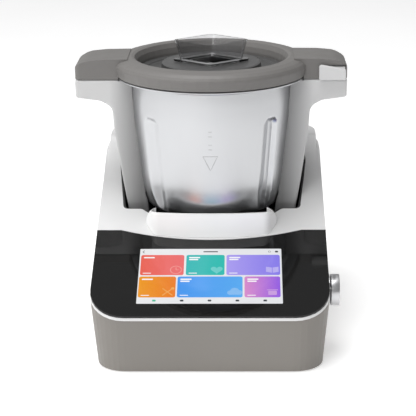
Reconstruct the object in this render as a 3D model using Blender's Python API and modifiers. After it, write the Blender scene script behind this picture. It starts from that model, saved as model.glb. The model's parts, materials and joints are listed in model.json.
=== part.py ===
"""Heated cooking blender: a countertop base with a tilted touch panel, a lift-out steel bowl with two
handles, a lid with two ears and a latch, a measuring cup, a side knob and the drive inside.

Metres, +Z up. X runs left to right, -Y is the front. The origin is on the floor, under the middle
of the base.
"""

import math

import bmesh
import bpy
from mathutils import Matrix, Vector

# ---------------------------------------------------------------- driving dimensions

GAP = 0.0003  # clearance between pieces that touch
WALL = 0.0025  # moulded wall thickness

BODY_HALF_WIDTH = 0.128
BODY_FRONT = -0.165
BODY_REAR = 0.165
BODY_CORNER = 0.038  # plan radius of the body's corners
FOOT_HEIGHT = 0.003
CASING_BASE = 0.0008  # lower edge of the skirt that hides the feet
CASING_FLOOR = FOOT_HEIGHT + GAP  # underside inside the skirt
CASING_BOTTOM_INSET = 0.0065  # how far the casing's foot is inside its shoulder
CASING_SHOULDER_Z = 0.066
CASING_FILLET = 0.0012

PANEL_TILT = math.radians(22.2)
PANEL_FRONT_Z = 0.0665  # top of the glass at the front edge
GLASS_THICKNESS = 0.0018
TRIM_HEIGHT = 0.0032  # white edge that shows under the glass
GLASS_REAR = -0.037  # straight rear edge at the sides
GLASS_REAR_MIDDLE = -0.0526  # rear edge on the centre line
GLASS_ARC_HALF = 0.1007  # half width of the arc in the rear edge
SCREEN_WIDTH = 0.155
SCREEN_HEIGHT = 0.0872
SCREEN_UP_PANEL = 0.0629  # screen centre, along the slope from the front edge

CREASE_Y = 0.045  # where the deck turns up into the rear crest
SHOULDER_TOP = 0.177
CREST_TOP = 0.192
CREST_HALF_WIDTH = 0.1225

BOWL_Y = 0.042  # axis of the bowl, blade and motor
BOWL_AXIS = Vector((0.0, BOWL_Y, 0.0))
BOWL_RADIUS = 0.093
BOWL_WALL = 0.0015
BOWL_FLOOR = 0.1315  # underside of the steel floor
BOWL_RIM = 0.2805
RIM_RADIUS = 0.1075
FLUTE_ANGLES = (46.5, 133.5, 226.5, 313.5)  # degrees around the bowl

SEAT_FLOOR = 0.096
SEAT_REAR_RADIUS = 0.0955

HANDLE_FRONT = 0.011
HANDLE_REAR = 0.073
HANDLE_TIP = 0.1523
HANDLE_TOP = 0.2797

LID_BASE = 0.283
LID_RADIUS = 0.1105
LID_CROWN = 0.3025
LID_OPENING = 0.088

CUP_TOP = 0.319
CUP_DEPTH = 0.80  # the cup's depth over its width

KNOB_Y = -0.100
KNOB_Z = 0.0715
KNOB_RADIUS = 0.0171
KNOB_FACE = 0.1395

LATCH_LEFT = 0.1205
LATCH_RIGHT = 0.1503
LATCH_AXIS = Vector((0.0, 0.0165, 0.2905))

FINE = 48  # segments round the bowl and the lid
MIDDLE = 24  # segments round the motor
COARSE = 14  # segments round small pieces

PART_NAME = "cooking_blender"

# ---------------------------------------------------------------- collections and materials


def clear_scene():
    for thing in list(bpy.data.objects):
        bpy.data.objects.remove(thing, do_unlink=True)


def new_collection(name):
    collection = bpy.data.collections.new(name)
    bpy.context.scene.collection.children.link(collection)
    return collection


clear_scene()
PARTS = new_collection(PART_NAME)
CUTTERS = new_collection(PART_NAME + "_cutters")


def material(name, colour, roughness, metallic=0.0, alpha=1.0):
    made = bpy.data.materials.new(name)
    made.use_nodes = True
    shader = made.node_tree.nodes["Principled BSDF"]
    shader.inputs["Base Color"].default_value = (*colour, 1.0)
    shader.inputs["Roughness"].default_value = roughness
    shader.inputs["Metallic"].default_value = metallic
    shader.inputs["Alpha"].default_value = alpha
    made.diffuse_color = (*colour, alpha)
    return made


TAUPE = material("taupe_plastic", (0.26, 0.24, 0.22), 0.45)
LID_GREY = material("lid_grey_plastic", (0.20, 0.20, 0.19), 0.45)
WHITE = material("white_plastic", (0.78, 0.78, 0.78), 0.4)
PALE_GREY = material("pale_grey_plastic", (0.62, 0.62, 0.62), 0.4)
DARK = material("dark_plastic", (0.03, 0.03, 0.03), 0.5)
BLACK_GLASS = material("black_glass", (0.01, 0.01, 0.01), 0.06)
SCREEN = material("screen", (0.55, 0.62, 0.80), 0.2)
BOARD = material("circuit_board", (0.03, 0.20, 0.09), 0.5)
STEEL = material("brushed_steel", (0.72, 0.73, 0.74), 0.28, 1.0)
LAMINATION = material("lamination_steel", (0.35, 0.35, 0.36), 0.45, 1.0)
COPPER = material("heater_alloy", (0.55, 0.40, 0.28), 0.4, 1.0)
KNOB_METAL = material("knob_metal", (0.50, 0.50, 0.51), 0.3, 1.0)
SILICONE = material("silicone", (0.28, 0.28, 0.28), 0.7)
RUBBER = material("rubber", (0.02, 0.02, 0.02), 0.85)
SMOKE = material("smoke_plastic", (0.16, 0.14, 0.13), 0.08, 0.0, 0.45)

# ---------------------------------------------------------------- modelling helpers


def as_cutter(thing):
    """Move an object to the cutters, where it is drawn as a wire and never rendered."""
    for collection in list(thing.users_collection):
        collection.objects.unlink(thing)
    CUTTERS.objects.link(thing)
    thing.hide_render = True
    thing.display_type = "WIRE"
    return thing


def finish(name, mesh, skin=None):
    """Put a mesh in the parts collection with its material."""
    thing = bpy.data.objects.new(name, mesh)
    PARTS.objects.link(thing)
    if skin is not None:
        mesh.materials.append(skin)
    return thing


def from_bmesh(name, shape, skin=None):
    mesh = bpy.data.meshes.new(name)
    shape.to_mesh(mesh)
    shape.free()
    return finish(name, mesh, skin)


def boolean(thing, other, operation="DIFFERENCE"):
    modifier = thing.modifiers.new(operation.lower(), "BOOLEAN")
    modifier.operation = operation
    modifier.object = other
    modifier.solver = "EXACT"
    return thing


def cut(thing, *others):
    for other in others:
        boolean(thing, as_cutter(other))
    return thing


def keep(thing, other):
    return boolean(thing, as_cutter(other), "INTERSECT")


def join(thing, *others):
    for other in others:
        boolean(thing, as_cutter(other), "UNION")
    return thing


def bevel(thing, width, segments=2, angle=40):
    modifier = thing.modifiers.new("bevel", "BEVEL")
    modifier.width = width
    modifier.segments = segments
    modifier.limit_method = "ANGLE"
    modifier.angle_limit = math.radians(angle)
    modifier.use_clamp_overlap = True
    return thing


def settle(thing):
    """Apply a piece's modifiers and clear the slivers that its Booleans leave in flat faces."""
    bpy.context.view_layer.update()
    evaluated = thing.evaluated_get(bpy.context.evaluated_depsgraph_get())
    shape = bmesh.new()
    shape.from_mesh(bpy.data.meshes.new_from_object(evaluated))
    bmesh.ops.remove_doubles(shape, verts=shape.verts, dist=0.00002)
    bmesh.ops.dissolve_limit(shape, angle_limit=0.002, verts=shape.verts, edges=shape.edges)
    bmesh.ops.triangulate(shape, faces=shape.faces, quad_method="BEAUTY", ngon_method="BEAUTY")
    bmesh.ops.dissolve_degenerate(shape, dist=0.00002, edges=shape.edges)
    thing.modifiers.clear()
    shape.to_mesh(thing.data)
    shape.free()
    return thing


def box(name, low, high, skin=None):
    """A box between two corners."""
    low = Vector(low)
    high = Vector(high)
    shape = bmesh.new()
    bmesh.ops.create_cube(shape, size=1.0)
    bmesh.ops.scale(shape, vec=high - low, verts=shape.verts)
    bmesh.ops.translate(shape, vec=(low + high) / 2, verts=shape.verts)
    return from_bmesh(name, shape, skin)


def cylinder(name, start, end, radius, skin=None, segments=COARSE):
    """A capped cylinder between two points."""
    start = Vector(start)
    end = Vector(end)
    shape = bmesh.new()
    bmesh.ops.create_cone(
        shape,
        cap_ends=True,
        segments=segments,
        radius1=radius,
        radius2=radius,
        depth=(end - start).length,
    )
    turn = Vector((0, 0, 1)).rotation_difference(end - start).to_matrix().to_4x4()
    bmesh.ops.transform(shape, matrix=turn, verts=shape.verts)
    bmesh.ops.translate(shape, vec=(start + end) / 2, verts=shape.verts)
    return from_bmesh(name, shape, skin)


def turned(name, profile, skin=None, axis=BOWL_AXIS, segments=FINE):
    """Turn a closed profile of (radius, z), listed clockwise, round a vertical axis."""
    mesh = bpy.data.meshes.new(name)
    points = [(radius, 0.0, z) for radius, z in profile]
    edges = [(i, (i + 1) % len(points)) for i in range(len(points))]
    if profile[0][0] == 0.0 and profile[-1][0] == 0.0:
        edges = edges[:-1]
    mesh.from_pydata(points, edges, [])
    thing = finish(name, mesh, skin)
    thing.location = axis
    screw = thing.modifiers.new("screw", "SCREW")
    screw.steps = segments
    screw.render_steps = segments
    screw.use_merge_vertices = True
    screw.merge_threshold = 0.00001
    return thing


def rounded(corners, segments=5):
    """An outline from (x, y, radius) corners, each corner drawn as an arc."""
    outline = []
    count = len(corners)
    for i, (x, y, radius) in enumerate(corners):
        here = Vector((x, y))
        if radius == 0:
            outline.append((x, y))
            continue
        before = (Vector(corners[i - 1][:2]) - here).normalized()
        after = (Vector(corners[(i + 1) % count][:2]) - here).normalized()
        half = before.angle(after) / 2
        centre = here + (before + after).normalized() * radius / math.sin(half)
        first = here + before * radius / math.tan(half) - centre
        last = here + after * radius / math.tan(half) - centre
        sweep = first.angle_signed(last)
        for step in range(segments + 1):
            spoke = first.copy()
            spoke.rotate(Matrix.Rotation(-sweep * step / segments, 2))
            outline.append(tuple(centre + spoke))
    return outline


def arc(centre, radius, start, end, segments):
    """Points on an arc, with its angles in degrees."""
    angles = (math.radians(start + (end - start) * i / segments) for i in range(segments + 1))
    return [(centre[0] + radius * math.cos(a), centre[1] + radius * math.sin(a)) for a in angles]


def prism(name, outline, low, high, skin=None, plane="XY"):
    """A flat outline given thickness: XY rises along Z, XZ runs along Y and YZ along X."""
    curve = bpy.data.curves.new(name, "CURVE")
    curve.dimensions = "2D"
    curve.fill_mode = "BOTH"
    curve.extrude = (high - low) / 2
    spline = curve.splines.new("POLY")
    spline.points.add(len(outline) - 1)
    for point, (x, y) in zip(spline.points, outline):
        point.co = (x, y, 0.0, 1.0)
    spline.use_cyclic_u = True
    drawn = bpy.data.objects.new(name, curve)
    PARTS.objects.link(drawn)
    bpy.context.view_layer.update()
    evaluated = drawn.evaluated_get(bpy.context.evaluated_depsgraph_get())
    mesh = bpy.data.meshes.new_from_object(evaluated)
    bpy.data.objects.remove(drawn, do_unlink=True)
    shape = bmesh.new()
    shape.from_mesh(mesh)
    bpy.data.meshes.remove(mesh)
    bmesh.ops.remove_doubles(shape, verts=shape.verts, dist=0.000001)
    bmesh.ops.dissolve_limit(shape, angle_limit=0.001, verts=shape.verts, edges=shape.edges)
    bmesh.ops.translate(shape, vec=(0, 0, (low + high) / 2), verts=shape.verts)
    turns = {
        "XY": Matrix.Identity(4),
        "XZ": Matrix(((1, 0, 0, 0), (0, 0, 1, 0), (0, 1, 0, 0), (0, 0, 0, 1))),
        "YZ": Matrix(((0, 0, 1, 0), (1, 0, 0, 0), (0, 1, 0, 0), (0, 0, 0, 1))),
    }
    bmesh.ops.transform(shape, matrix=turns[plane], verts=shape.verts)
    bmesh.ops.recalc_face_normals(shape, faces=shape.faces)
    return from_bmesh(name, shape, skin)


def loft(name, rings, skin=None):
    """A closed solid through rings of equally many points, each ring given as (outline, z)."""
    shape = bmesh.new()
    loops = [[shape.verts.new((x, y, z)) for x, y in outline] for outline, z in rings]
    for lower, upper in zip(loops, loops[1:]):
        for i in range(len(lower)):
            j = (i + 1) % len(lower)
            shape.faces.new((lower[i], lower[j], upper[j], upper[i]))
    shape.faces.new(loops[0])
    shape.faces.new(loops[-1])
    bmesh.ops.recalc_face_normals(shape, faces=shape.faces)
    return from_bmesh(name, shape, skin)


def mirrored(outline):
    """Complete an outline whose right half runs from the front of the centre line to its rear."""
    left = [(-x, y) for x, y in reversed(outline) if x > 0.00001]
    return outline + left


# ---------------------------------------------------------------- shared outlines


def deck_z(y):
    """Height of the tilted plane that the glass and the deck lie in."""
    return PANEL_FRONT_Z + (y - BODY_FRONT) * math.tan(PANEL_TILT)


TRIM_DROP = GLASS_THICKNESS + GAP + TRIM_HEIGHT
SPLIT_Z = deck_z(GLASS_REAR) - TRIM_DROP  # level joint between casing and housing, behind the glass


def body_outline(inset):
    """The body's plan, drawn in from its widest outline."""
    x = BODY_HALF_WIDTH - inset
    front = BODY_FRONT + inset
    rear = BODY_REAR - inset
    radius = BODY_CORNER - inset
    return rounded(
        [(x, front, radius), (x, rear, radius), (-x, rear, radius), (-x, front, radius)], 8
    )


def glass_outline(grow):
    """Plan of the glass: the body's front, with an arc in the rear edge."""
    inset = -grow + 0.0002
    x = BODY_HALF_WIDTH - inset
    front = BODY_FRONT + inset
    rear = GLASS_REAR + grow
    sagitta = GLASS_REAR - GLASS_REAR_MIDDLE
    radius = (GLASS_ARC_HALF**2 + sagitta**2) / (2 * sagitta)
    span = math.degrees(math.asin(GLASS_ARC_HALF / radius))
    centre = (0.0, GLASS_REAR_MIDDLE + grow + radius)
    corner = BODY_CORNER - inset
    outline = rounded([(-x, rear, 0), (-x, front, corner), (x, front, corner), (x, rear, 0)], 8)
    return outline + arc(centre, radius, -90 + span, -90 - span, 16)


def seat_outline(shrink):
    """Plan of the bowl's seat: a front bay, a notch for each handle's foot and a round rear."""
    bay_front = -0.0455 + shrink
    bay_half = 0.0667 - shrink
    notch_front = -0.0023 + shrink
    notch_half = 0.1030 - shrink
    notch_rear = 0.0855 - shrink
    radius = SEAT_REAR_RADIUS - shrink
    front = rounded(
        [
            (0.0, bay_front, 0),
            (0.048, bay_front + 0.0035, 0.05),
            (bay_half - 0.004, bay_front + 0.008, 0.007),
            (bay_half, notch_front - 0.0110, 0.005),
            (bay_half + 0.0130, notch_front, 0.006),
            (notch_half - 0.0025, notch_front, 0.006),
            (notch_half, 0.020, 0),
            (notch_half + 0.0080, notch_rear, 0.010),
            (math.sqrt(radius**2 - (notch_rear - BOWL_Y) ** 2), notch_rear, 0),
        ],
        4,
    )
    start = math.degrees(math.asin((notch_rear - BOWL_Y) / radius))
    rear = arc((0.0, BOWL_Y), radius, start, 90, 12)[1:]
    return mirrored(front + rear)


def housing_side(drop, low):
    """Side view of the upper housing's top, lowered by drop, down to a flat bottom."""
    top = [
        (BODY_FRONT - 0.01, deck_z(BODY_FRONT - 0.01) - drop),
        (CREASE_Y, deck_z(CREASE_Y) - drop),
        (0.094, SHOULDER_TOP - drop),
        (BODY_REAR - 0.012, SHOULDER_TOP - drop),
        (BODY_REAR + 0.01, SHOULDER_TOP - 0.006 - drop),
    ]
    return top + [(BODY_REAR + 0.01, low), (BODY_FRONT - 0.01, low)]


def crest_side(drop, low):
    """Side view of the rear crest, lowered by drop."""
    corners = [
        (CREASE_Y - 0.002 + drop, deck_z(CREASE_Y) - 0.002 - drop, 0),
        (0.074 + drop, 0.1685 - drop, 0.03),
        (0.105 + drop, CREST_TOP - drop, 0.010),
        (BODY_REAR - 0.004 - drop, CREST_TOP - drop, 0.012),
        (BODY_REAR - 0.002 - drop, 0.160, 0),
        (BODY_REAR - 0.002 - drop, low, 0),
        (CREASE_Y - 0.002 + drop, low, 0),
    ]
    return rounded(corners, 5)


def joint_side(low, y_reach=0.02):
    """Side view of everything under the joint between the casing and the housing."""
    front = BODY_FRONT - y_reach
    rear = BODY_REAR + y_reach
    return [
        (front, low),
        (rear, low),
        (rear, SPLIT_Z),
        (GLASS_REAR, SPLIT_Z),
        (front, deck_z(front) - TRIM_DROP),
    ]


def on_panel(thing, up_panel=0.0):
    """Stand a flat piece, drawn on the floor plane, on the tilted panel."""
    thing.location = (
        0.0,
        BODY_FRONT + up_panel * math.cos(PANEL_TILT),
        PANEL_FRONT_Z + up_panel * math.sin(PANEL_TILT),
    )
    thing.rotation_euler = (PANEL_TILT, 0.0, 0.0)
    return thing


# ---------------------------------------------------------------- base: shells


def casing_loft(name, inset, low, high, skin=None):
    """The lower casing's outer form, drawn in by inset: it widens from foot to shoulder."""
    rings = []
    steps = 3
    for step in range(steps + 1):
        turn = math.pi / 2 * step / steps
        fillet = CASING_FILLET * (1 - math.sin(turn))
        rings.append(
            (
                body_outline(CASING_BOTTOM_INSET + fillet + inset),
                low + CASING_FILLET * (1 - math.cos(turn)),
            )
        )
    rings.append((body_outline(0.0006 + inset), CASING_SHOULDER_Z))
    rings.append((body_outline(inset), high))
    return loft(name, rings, skin)


def make_lower_casing():
    casing = casing_loft("lower_casing", 0.0, CASING_BASE, 0.13, TAUPE)
    keep(casing, prism("casing_joint", [(y, z - GAP) for y, z in joint_side(-0.01)], -0.2, 0.2, None, "YZ"))
    corners = [(0.078, -0.110, 0.01), (0.078, 0.118, 0.01), (-0.078, 0.118, 0.01), (-0.078, -0.110, 0.01)]
    opening = rounded(corners, 3)
    cut(
        casing,
        casing_loft("casing_hollow", WALL, CASING_FLOOR + WALL, 0.14),
        prism("casing_recess", body_outline(CASING_BOTTOM_INSET + 0.012), -0.01, CASING_FLOOR),
        prism("casing_opening", opening, -0.01, 0.02),
        cylinder("casing_knob_hole", (0.10, KNOB_Y, KNOB_Z), (0.15, KNOB_Y, KNOB_Z), 0.006),
    )
    clear = Vector((GAP, 0.01, GAP))
    for low, high in ((INLET_LOW, INLET_HIGH), (SWITCH_LOW, SWITCH_HIGH), (VENT_LOW, VENT_HIGH)):
        cut(casing, box("casing_rear_hole", low - clear, high + clear))
    for x, y in SCREW_PLACES:
        cut(casing, cylinder("casing_screw_hole", (x, y, -0.01), (x, y, 0.02), SCREW_RADIUS + GAP, None, 12))
    return casing


def make_base_plate():
    low = CASING_FLOOR + WALL + GAP
    corners = [(0.096, -0.128, 0.012), (0.096, 0.136, 0.012), (-0.096, 0.136, 0.012), (-0.096, -0.128, 0.012)]
    plate = prism("base_plate", rounded(corners, 3), low, low + 0.0018, LAMINATION)
    for i in range(6):
        y = 0.010 + 0.013 * i
        cut(plate, box("plate_slot", (-0.022, y - 0.002, -0.01), (0.022, y + 0.002, 0.02)))
    for x, y in SCREW_PLACES:
        cut(plate, cylinder("plate_screw_hole", (x, y, -0.01), (x, y, 0.02), SCREW_RADIUS + GAP, None, 12))
    return plate


def housing_loft(name, inset, skin=None):
    rings = [(body_outline(inset), 0.05), (body_outline(inset), 0.12), (body_outline(inset + 0.0016), 0.205)]
    return loft(name, rings, skin)


def crest_loft(name, inset, skin=None):
    side = BODY_HALF_WIDTH - CREST_HALF_WIDTH
    rings = [(body_outline(inset + side - 0.002), 0.10), (body_outline(inset + side), CREST_TOP + 0.01)]
    return loft(name, rings, skin)


def make_upper_housing():
    housing = housing_loft("upper_housing", 0.0, WHITE)
    keep(housing, prism("housing_profile", housing_side(0.0, 0.04), -0.2, 0.2, None, "YZ"))
    crest = crest_loft("housing_crest", 0.0)
    keep(crest, prism("crest_profile", crest_side(0.0, 0.12), -0.2, 0.2, None, "YZ"))
    join(housing, crest)
    bevel(housing, 0.003, 2, 35)
    cut(housing, prism("housing_joint", joint_side(-0.05, 0.05), -0.2, 0.2, None, "YZ"))

    hollow = housing_loft("housing_hollow", WALL)
    keep(hollow, prism("hollow_profile", housing_side(WALL * 1.2, 0.04), -0.2, 0.2, None, "YZ"))
    crest_hollow = crest_loft("crest_hollow", WALL)
    keep(crest_hollow, prism("crest_hollow_profile", crest_side(WALL, 0.12), -0.2, 0.2, None, "YZ"))
    join(hollow, crest_hollow)
    cut(hollow, prism("hollow_seat", seat_outline(-WALL), 0.0, 0.3))
    cut(housing, hollow)

    recess = prism("glass_recess", glass_outline(GAP + 0.0004), 0.03, 0.2)
    above = box("recess_slab", (-0.2, -0.05, -GLASS_THICKNESS - GAP), (0.2, 0.2, 0.1))
    keep(recess, on_panel(above))
    window = box("panel_window", (-0.0850, 0.0115, -0.03), (0.0850, 0.1105, 0.02))
    cut(
        housing,
        prism("housing_seat", seat_outline(0.0), 0.0, 0.3),
        recess,
        on_panel(window),
    )
    return settle(housing)


def make_front_collar():
    """The low wall that stands on the deck in front of the bowl."""
    def band(grow):
        side = 0.0736 + grow
        front = -0.0492 - grow
        half = rounded(
            [
                (0.0, front, 0),
                (0.030, front + 0.0008, 0.1),
                (side - 0.010, front + 0.0042, 0.010),
                (side, front + 0.0240, 0.006),
                (side - 0.0010 + grow, -0.0215, 0),
            ],
            5,
        )
        return half

    outer = band(0.0)
    inner = band(-0.0031)
    mirrored_inner = [(-x, y) for x, y in inner[1:]]
    mirrored_outer = [(-x, y) for x, y in reversed(outer[1:])]
    outline = outer + inner[::-1] + mirrored_inner + mirrored_outer
    collar = prism("front_collar", outline, 0.08, 0.1412, WHITE)
    corners = [(0.0735, 0.1412, 0.016), (-0.0735, 0.1412, 0.016), (-0.0745, 0.08, 0), (0.0745, 0.08, 0)]
    face = rounded(corners, 6)
    keep(collar, prism("collar_face", face, -0.2, 0.2, None, "XZ"))
    deck = [(y, deck_z(y) + GAP) for y in (-0.2, 0.1)] + [(0.1, -0.05), (-0.2, -0.05)]
    cut(collar, prism("collar_deck", deck, -0.2, 0.2, None, "YZ"))
    return collar


def make_panel():
    glass = prism("glass_panel", glass_outline(0.0), 0.03, 0.2, BLACK_GLASS)
    slab = box("glass_slab", (-0.2, -0.05, -GLASS_THICKNESS), (0.2, 0.2, 0.0))
    keep(glass, on_panel(slab))

    back = -GLASS_THICKNESS - GAP
    half_width = SCREEN_WIDTH / 2 + 0.003
    half_height = SCREEN_HEIGHT / 2 + 0.002
    low = (-half_width, -half_height, back - 0.0032)
    display = box("touch_display", low, (half_width, half_height, back), SCREEN)
    on_panel(display, SCREEN_UP_PANEL)
    board = box("display_board", (-0.060, -0.030, back - 0.0130), (0.060, 0.030, back - 0.0114), BOARD)
    chip = box("display_chip", (-0.012, -0.012, back - 0.0120), (0.012, 0.012, back - 0.0095))
    on_panel(join(board, on_panel(chip, SCREEN_UP_PANEL)), SCREEN_UP_PANEL)
    return glass, display, board


def make_seat_liner():
    """The dark cup that the bowl stands in, with holes for the drive and the heater contacts."""
    low = SEAT_FLOOR - WALL
    liner = prism("seat_liner", seat_outline(GAP), low, 0.25, DARK)
    clear = Vector((GAP, GAP, 0.01))
    keep(liner, prism("liner_rim", housing_side(0.0015, 0.0), -0.2, 0.2, None, "YZ"))
    cut(
        liner,
        prism("liner_hollow", seat_outline(GAP + 0.002), SEAT_FLOOR, 0.3),
        cylinder("liner_drive_hole", (0, BOWL_Y, 0.08), (0, BOWL_Y, 0.11), 0.0141),
        box("liner_contact_hole", CONTACT_LOW - clear, CONTACT_HIGH + clear),
    )
    return liner


# ---------------------------------------------------------------- base: feet, screws and rear fittings

FOOT_PLACES = [(x, y) for x in (-0.096, 0.096) for y in (-0.130, 0.133)]
SCREW_PLACES = [(x, y) for x in (-0.086, 0.086) for y in (-0.105, 0.108)]
SCREW_RADIUS = 0.0018
CONTACT_LOW = Vector((-0.016, BOWL_Y + 0.030, 0.0908))
CONTACT_HIGH = Vector((0.016, BOWL_Y + 0.044, 0.0968))
INLET_LOW = Vector((0.056, 0.148, 0.030))
INLET_HIGH = Vector((0.086, 0.1642, 0.052))
SWITCH_LOW = Vector((-0.086, 0.148, 0.033))
SWITCH_HIGH = Vector((-0.060, 0.1642, 0.051))
VENT_LOW = Vector((-0.042, 0.1605, 0.062))
VENT_HIGH = Vector((0.042, 0.1648, 0.094))


def make_feet_and_screws():
    sides = {-1: "left", 1: "right"}
    ends = {-1: "front", 1: "rear"}
    for x, y in FOOT_PLACES:
        name = f"foot_{ends[1 if y > 0 else -1]}_{sides[1 if x > 0 else -1]}"
        bevel(cylinder(name, (x, y, 0), (x, y, FOOT_HEIGHT), 0.010, RUBBER), 0.0006, 1, 60)
    for x, y in SCREW_PLACES:
        name = f"base_screw_{ends[1 if y > 0 else -1]}_{sides[1 if x > 0 else -1]}"
        screw = cylinder(name, (x, y, 0.0008), (x, y, 0.0030), 0.0036, STEEL, 16)
        shank = cylinder("screw_shank", (x, y, 0.0028), (x, y, 0.0105), SCREW_RADIUS, None, 10)
        cross = box("screw_slot", (x - 0.0022, y - 0.0005, 0.0), (x + 0.0022, y + 0.0005, 0.0014))
        cut(join(screw, shank), cross)


def make_power_inlet():
    inlet = box("power_inlet", INLET_LOW, INLET_HIGH, DARK)
    middle = (INLET_LOW + INLET_HIGH) / 2
    hole = [(0.0125, -0.008, 0.002), (0.0125, 0.004, 0.002), (0.008, 0.008, 0.002), (-0.008, 0.008, 0.002),
            (-0.0125, 0.004, 0.002), (-0.0125, -0.008, 0.002)]
    outline = [(middle.x + x, middle.z + z) for x, z in rounded(hole, 3)]
    cut(inlet, prism("inlet_socket", outline, INLET_LOW.y + 0.004, 0.2, None, "XZ"))
    for x, z in ((-0.007, -0.002), (0.0, 0.002), (0.007, -0.002)):
        low = (middle.x + x - 0.001, INLET_LOW.y + 0.003, middle.z + z - 0.0025)
        high = (middle.x + x + 0.001, INLET_HIGH.y - 0.0052, middle.z + z + 0.0025)
        join(inlet, box("inlet_pin", low, high))
    return inlet


def make_power_switch():
    frame = box("switch_frame", SWITCH_LOW, SWITCH_HIGH, DARK)
    inner = Vector((0.002, 0.0, 0.002))
    well_low = SWITCH_LOW + inner + Vector((0, 0.002, 0))
    cut(frame, box("switch_well", well_low, SWITCH_HIGH - inner + Vector((0, 0.01, 0))))
    middle = (SWITCH_LOW + SWITCH_HIGH) / 2
    axis_y = SWITCH_HIGH.y - 0.0060
    half_height = (SWITCH_HIGH.z - SWITCH_LOW.z) / 2 - inner.z - 0.0005
    drum = arc((axis_y, middle.z), half_height, 28, 332, 12)
    outline = drum + [(axis_y + 0.0040, middle.z)]
    half_width = (SWITCH_HIGH.x - SWITCH_LOW.x) / 2 - inner.x - 0.0005
    side = [(y - axis_y, z - middle.z) for y, z in outline]
    rocker = prism("power_switch", side, -half_width, half_width, DARK, "YZ")
    rocker.location = (middle.x, axis_y, middle.z)
    return frame, rocker


def make_vent_grille():
    grille = box("vent_grille", VENT_LOW, VENT_HIGH, DARK)
    count = 7
    pitch = (VENT_HIGH.z - VENT_LOW.z) / (count + 1)
    for i in range(count):
        z = VENT_LOW.z + pitch * (i + 1)
        slot_low = (VENT_LOW.x + 0.005, 0.1, z - 0.0012)
        cut(grille, box("vent_slot", slot_low, (VENT_HIGH.x - 0.005, 0.2, z + 0.0012)))
    return grille


# ---------------------------------------------------------------- base: drive, boards and speaker

SHAFT_RADIUS = 0.004
STATOR_LOW = 0.028
STATOR_HIGH = 0.068


def make_motor():
    turned("motor_stator", [(0.042, STATOR_HIGH), (0.042, STATOR_LOW), (0.0275, STATOR_LOW),
           (0.0275, STATOR_HIGH)], LAMINATION, segments=MIDDLE)
    turned("rotor_core", [(0.0265, STATOR_HIGH - 0.002), (0.0265, STATOR_LOW + 0.002),
           (SHAFT_RADIUS + GAP, STATOR_LOW + 0.002), (SHAFT_RADIUS + GAP, STATOR_HIGH - 0.002)],
           LAMINATION, segments=MIDDLE)
    turned("motor_shaft", [(0.0, 0.1045), (SHAFT_RADIUS - 0.0005, 0.1045), (SHAFT_RADIUS, 0.1040),
           (SHAFT_RADIUS, 0.0140), (0.0, 0.0140)], STEEL, segments=COARSE)
    cradle = [
        (0.0460, 0.0460), (0.0460, 0.0085), (0.0060, 0.0085), (0.0060, 0.0115), (0.0114, 0.0115),
        (0.0114, 0.0235), (0.0140, 0.0235), (0.0140, 0.0115), (0.0425, 0.0115), (0.0425, 0.0460),
    ]
    turned("motor_cradle", cradle, DARK, segments=MIDDLE)
    cap = [
        (0.0460, 0.0760), (0.0460, 0.0500), (0.0425, 0.0500), (0.0425, 0.0730), (0.0150, 0.0730),
        (0.0150, 0.0700), (0.0114, 0.0700), (0.0114, 0.0760),
    ]
    turned("motor_cap", cap, DARK, segments=MIDDLE)
    for name, low in (("lower_bearing", 0.0165), ("upper_bearing", 0.0695)):
        turned(name, [(0.0110, low + 0.007), (0.0110, low), (SHAFT_RADIUS + GAP, low),
               (SHAFT_RADIUS + GAP, low + 0.007)], STEEL, segments=COARSE)
    turned("drive_seal", [(0.0133, SEAT_FLOOR + 0.001), (0.0133, SEAT_FLOOR - WALL), (SHAFT_RADIUS + GAP,
           SEAT_FLOOR - WALL), (SHAFT_RADIUS + GAP, SEAT_FLOOR), (0.0060, SEAT_FLOOR + 0.001)],
           SILICONE, segments=COARSE)

    fan = turned("cooling_fan", [(0.0090, 0.0900), (0.0090, 0.0790), (SHAFT_RADIUS + GAP, 0.0790),
                 (SHAFT_RADIUS + GAP, 0.0900)], DARK, segments=COARSE)
    for i in range(7):
        blade = box("fan_blade", (0.008, -0.0006, 0.0800), (0.036, 0.0006, 0.0890))
        blade.matrix_world = Matrix.Translation(BOWL_AXIS) @ Matrix.Rotation(math.tau * i / 7, 4, "Z")
        join(fan, blade)
    return fan


def star_outline(radius, depth, lobes=6, grow=0.0):
    """A round dog with soft lobes, for the drive coupling and the socket it enters."""
    steps = lobes * 6
    outline = []
    for i in range(steps):
        angle = math.tau * i / steps
        reach = radius + grow + depth * math.cos(lobes * angle)
        outline.append((reach * math.cos(angle), reach * math.sin(angle)))
    return outline


def make_drive_coupling():
    coupling = prism("drive_coupling", star_outline(0.0085, 0.0014), 0.0978, 0.1085, STEEL)
    coupling.location = BOWL_AXIS
    bore = cylinder("coupling_bore", (0, BOWL_Y, 0.09), (0, BOWL_Y, 0.1048), SHAFT_RADIUS + GAP)
    return cut(coupling, bore)


def make_boards():
    power = box("power_board", (-0.112, -0.020, 0.0160), (-0.056, 0.100, 0.0176), BOARD)
    join(
        power,
        box("board_capacitor", (-0.106, 0.066, 0.0170), (-0.086, 0.092, 0.040)),
        box("board_heatsink", (-0.078, -0.010, 0.0170), (-0.066, 0.040, 0.044)),
        box("board_relay", (-0.106, 0.020, 0.0170), (-0.090, 0.044, 0.032)),
    )
    speaker = cylinder("speaker", (0.075, -0.06, 0.0088), (0.075, -0.06, 0.014), 0.018, DARK, MIDDLE)
    join(speaker, cylinder("speaker_magnet", (0.075, -0.06, 0.0135), (0.075, -0.06, 0.022), 0.010))
    return power, speaker


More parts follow.
